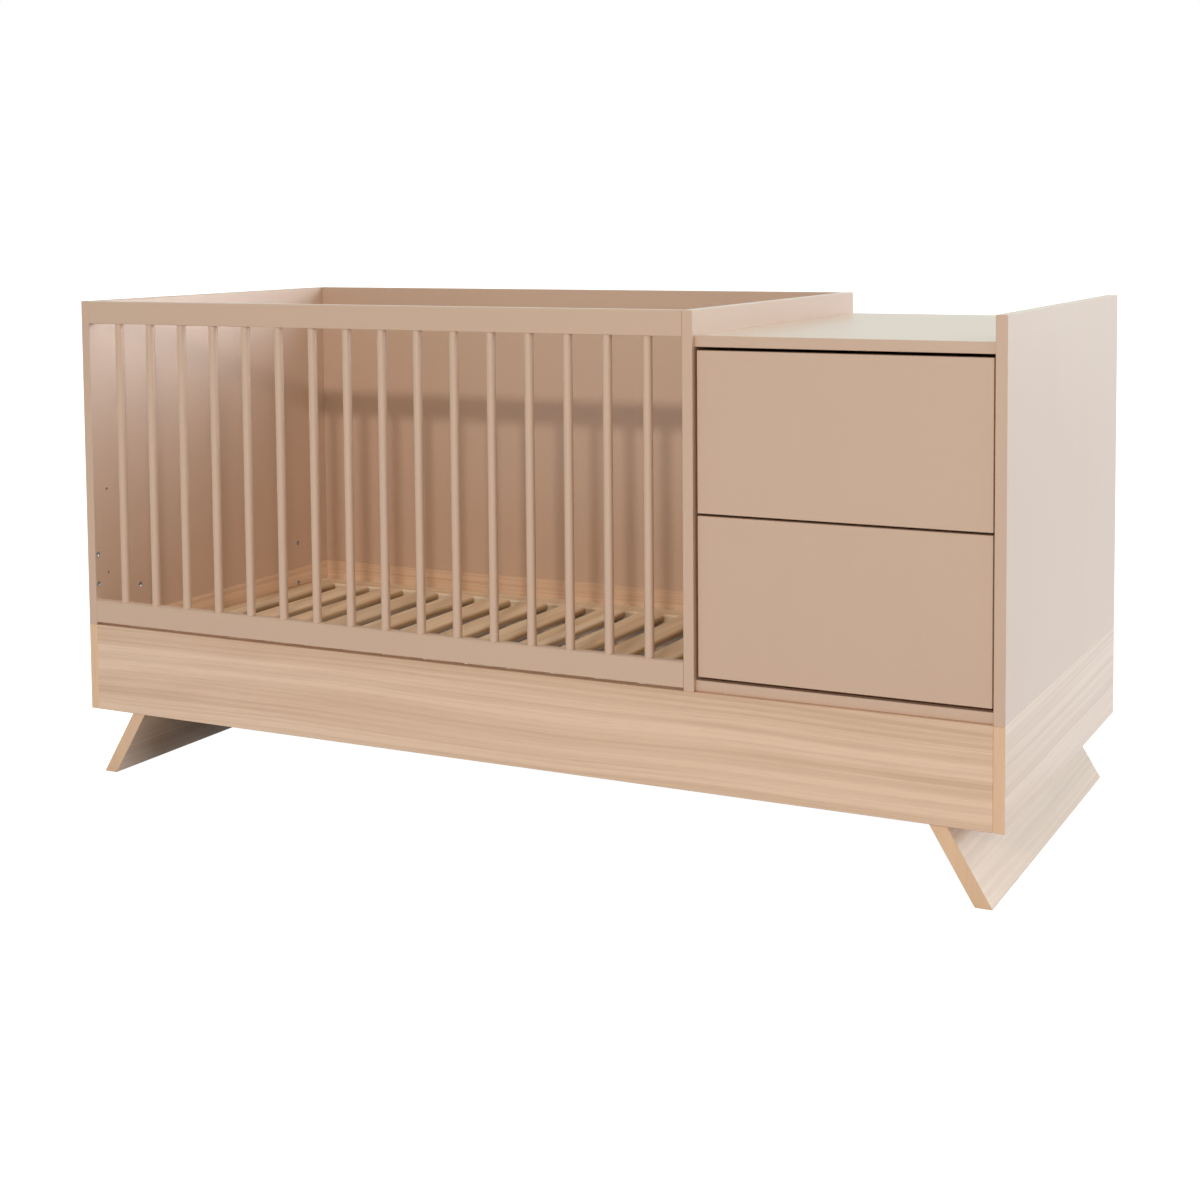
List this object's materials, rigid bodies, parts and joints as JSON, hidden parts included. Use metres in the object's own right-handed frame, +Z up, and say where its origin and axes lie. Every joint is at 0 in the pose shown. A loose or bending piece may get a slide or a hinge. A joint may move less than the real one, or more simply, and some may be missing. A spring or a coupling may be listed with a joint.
{
  "type": "convertible crib",
  "caption": "Wooden crib with a barred side and slatted base joined to a drawer chest with a changing top, on a wood-grain plinth with splayed board legs.",
  "frame": {"origin": "on the floor under the middle of the body, at the bottom centre of the bounding box", "axes": "+Z up, +X along the front from the crib towards the chest, +Y from the front to the back"},
  "size_m": [1.755, 0.776, 0.896],
  "materials": {
    "painted_board": "satin paint on board, beige",
    "oak_board": "light oak grain, matt",
    "pine": "planed pine, unfinished",
    "carcass_board": "white faced board",
    "zinc_steel": "bright zinc plated",
    "runner_steel": "zinc plated, lightly greased",
    "cast_zinc": "cast zinc",
    "beech": "fluted beech dowel",
    "latch_plastic": "grey moulded plastic",
    "cage_plastic": "dark moulded plastic",
    "plunger_rubber": "soft tip"
  },
  "bodies": {
    "root": {"left_end_panel": "painted_board", "right_end_panel": "painted_board", "divider_panel": "painted_board", "crib_back_panel": "painted_board", "barred_side_top_rail": "painted_board", "barred_side_bottom_rail": "painted_board", "barred_side_spindles": "painted_board", "chest_top_board": "painted_board", "chest_bottom_board": "painted_board", "chest_back_panel": "carcass_board", "plinth_left_board": "oak_board", "plinth_right_board": "oak_board", "plinth_front_board": "oak_board", "plinth_back_board": "oak_board", "plinth_cross_board": "oak_board", "left_leg_board": "oak_board", "right_leg_board": "oak_board", "left_leg_mounting_board": "oak_board", "right_leg_mounting_board": "oak_board", "leg_screws": "zinc_steel", "mattress_base_front_rail": "pine", "mattress_base_back_rail": "pine", "mattress_base_left_end_rail": "pine", "mattress_base_right_end_rail": "pine", "mattress_base_slats": "pine", "base_bolts": "zinc_steel", "base_height_inserts": "zinc_steel", "guard_rail_inserts": "zinc_steel", "carcass_cam_housings": "cast_zinc", "carcass_cam_bolts": "zinc_steel", "carcass_dowels": "beech", "runner_cabinet_screws": "zinc_steel", "lower_runner_cabinet_members": "runner_steel", "lower_push_latch_body": "latch_plastic", "upper_runner_cabinet_members": "runner_steel", "upper_push_latch_body": "latch_plastic"},
    "lower_drawer": {"lower_drawer_front": "painted_board", "lower_drawer_left_side": "carcass_board", "lower_drawer_right_side": "carcass_board", "lower_drawer_back": "carcass_board", "lower_drawer_bottom": "carcass_board", "lower_drawer_fixings": "zinc_steel", "lower_runner_drawer_members": "runner_steel"},
    "lower_runner_middle": {"lower_runner_middle_members": "runner_steel"},
    "lower_runner_outer_cages": {"lower_runner_outer_ball_cages": "cage_plastic"},
    "lower_runner_inner_cages": {"lower_runner_inner_ball_cages": "cage_plastic"},
    "lower_latch_plunger": {"lower_push_latch_plunger": "plunger_rubber"},
    "upper_drawer": {"upper_drawer_front": "painted_board", "upper_drawer_left_side": "carcass_board", "upper_drawer_right_side": "carcass_board", "upper_drawer_back": "carcass_board", "upper_drawer_bottom": "carcass_board", "upper_drawer_fixings": "zinc_steel", "upper_runner_drawer_members": "runner_steel"},
    "upper_runner_middle": {"upper_runner_middle_members": "runner_steel"},
    "upper_runner_outer_cages": {"upper_runner_outer_ball_cages": "cage_plastic"},
    "upper_runner_inner_cages": {"upper_runner_inner_ball_cages": "cage_plastic"},
    "upper_latch_plunger": {"upper_push_latch_plunger": "plunger_rubber"}
  },
  "joints": [
    {"name": "lower_drawer_slide", "type": "slide", "parent": "root", "child": "lower_drawer", "axis": [0, -1, 0], "range_m": [-0.003, 0.45]},
    {"name": "lower_runner_outer_cages_slide", "type": "slide", "parent": "root", "child": "lower_runner_outer_cages", "axis": [0, -1, 0], "range_m": [-0.00075, 0.1125]},
    {"name": "lower_runner_middle_slide", "type": "slide", "parent": "root", "child": "lower_runner_middle", "axis": [0, -1, 0], "range_m": [-0.0015, 0.225]},
    {"name": "lower_runner_inner_cages_slide", "type": "slide", "parent": "root", "child": "lower_runner_inner_cages", "axis": [0, -1, 0], "range_m": [-0.00225, 0.3375]},
    {"name": "lower_latch_plunger_slide", "type": "slide", "parent": "root", "child": "lower_latch_plunger", "axis": [0, 1, 0], "range_m": [0, 0.004], "stiffness_N_per_m": 400},
    {"name": "upper_drawer_slide", "type": "slide", "parent": "root", "child": "upper_drawer", "axis": [0, -1, 0], "range_m": [-0.003, 0.45]},
    {"name": "upper_runner_outer_cages_slide", "type": "slide", "parent": "root", "child": "upper_runner_outer_cages", "axis": [0, -1, 0], "range_m": [-0.00075, 0.1125]},
    {"name": "upper_runner_middle_slide", "type": "slide", "parent": "root", "child": "upper_runner_middle", "axis": [0, -1, 0], "range_m": [-0.0015, 0.225]},
    {"name": "upper_runner_inner_cages_slide", "type": "slide", "parent": "root", "child": "upper_runner_inner_cages", "axis": [0, -1, 0], "range_m": [-0.00225, 0.3375]},
    {"name": "upper_latch_plunger_slide", "type": "slide", "parent": "root", "child": "upper_latch_plunger", "axis": [0, 1, 0], "range_m": [0, 0.004], "stiffness_N_per_m": 400}
  ],
  "couplings": [
    {"joint": "lower_runner_outer_cages_slide", "follows": "lower_drawer_slide", "ratio": 0.25},
    {"joint": "lower_runner_middle_slide", "follows": "lower_drawer_slide", "ratio": 0.5},
    {"joint": "lower_runner_inner_cages_slide", "follows": "lower_drawer_slide", "ratio": 0.75},
    {"joint": "upper_runner_outer_cages_slide", "follows": "upper_drawer_slide", "ratio": 0.25},
    {"joint": "upper_runner_middle_slide", "follows": "upper_drawer_slide", "ratio": 0.5},
    {"joint": "upper_runner_inner_cages_slide", "follows": "upper_drawer_slide", "ratio": 0.75}
  ]
}
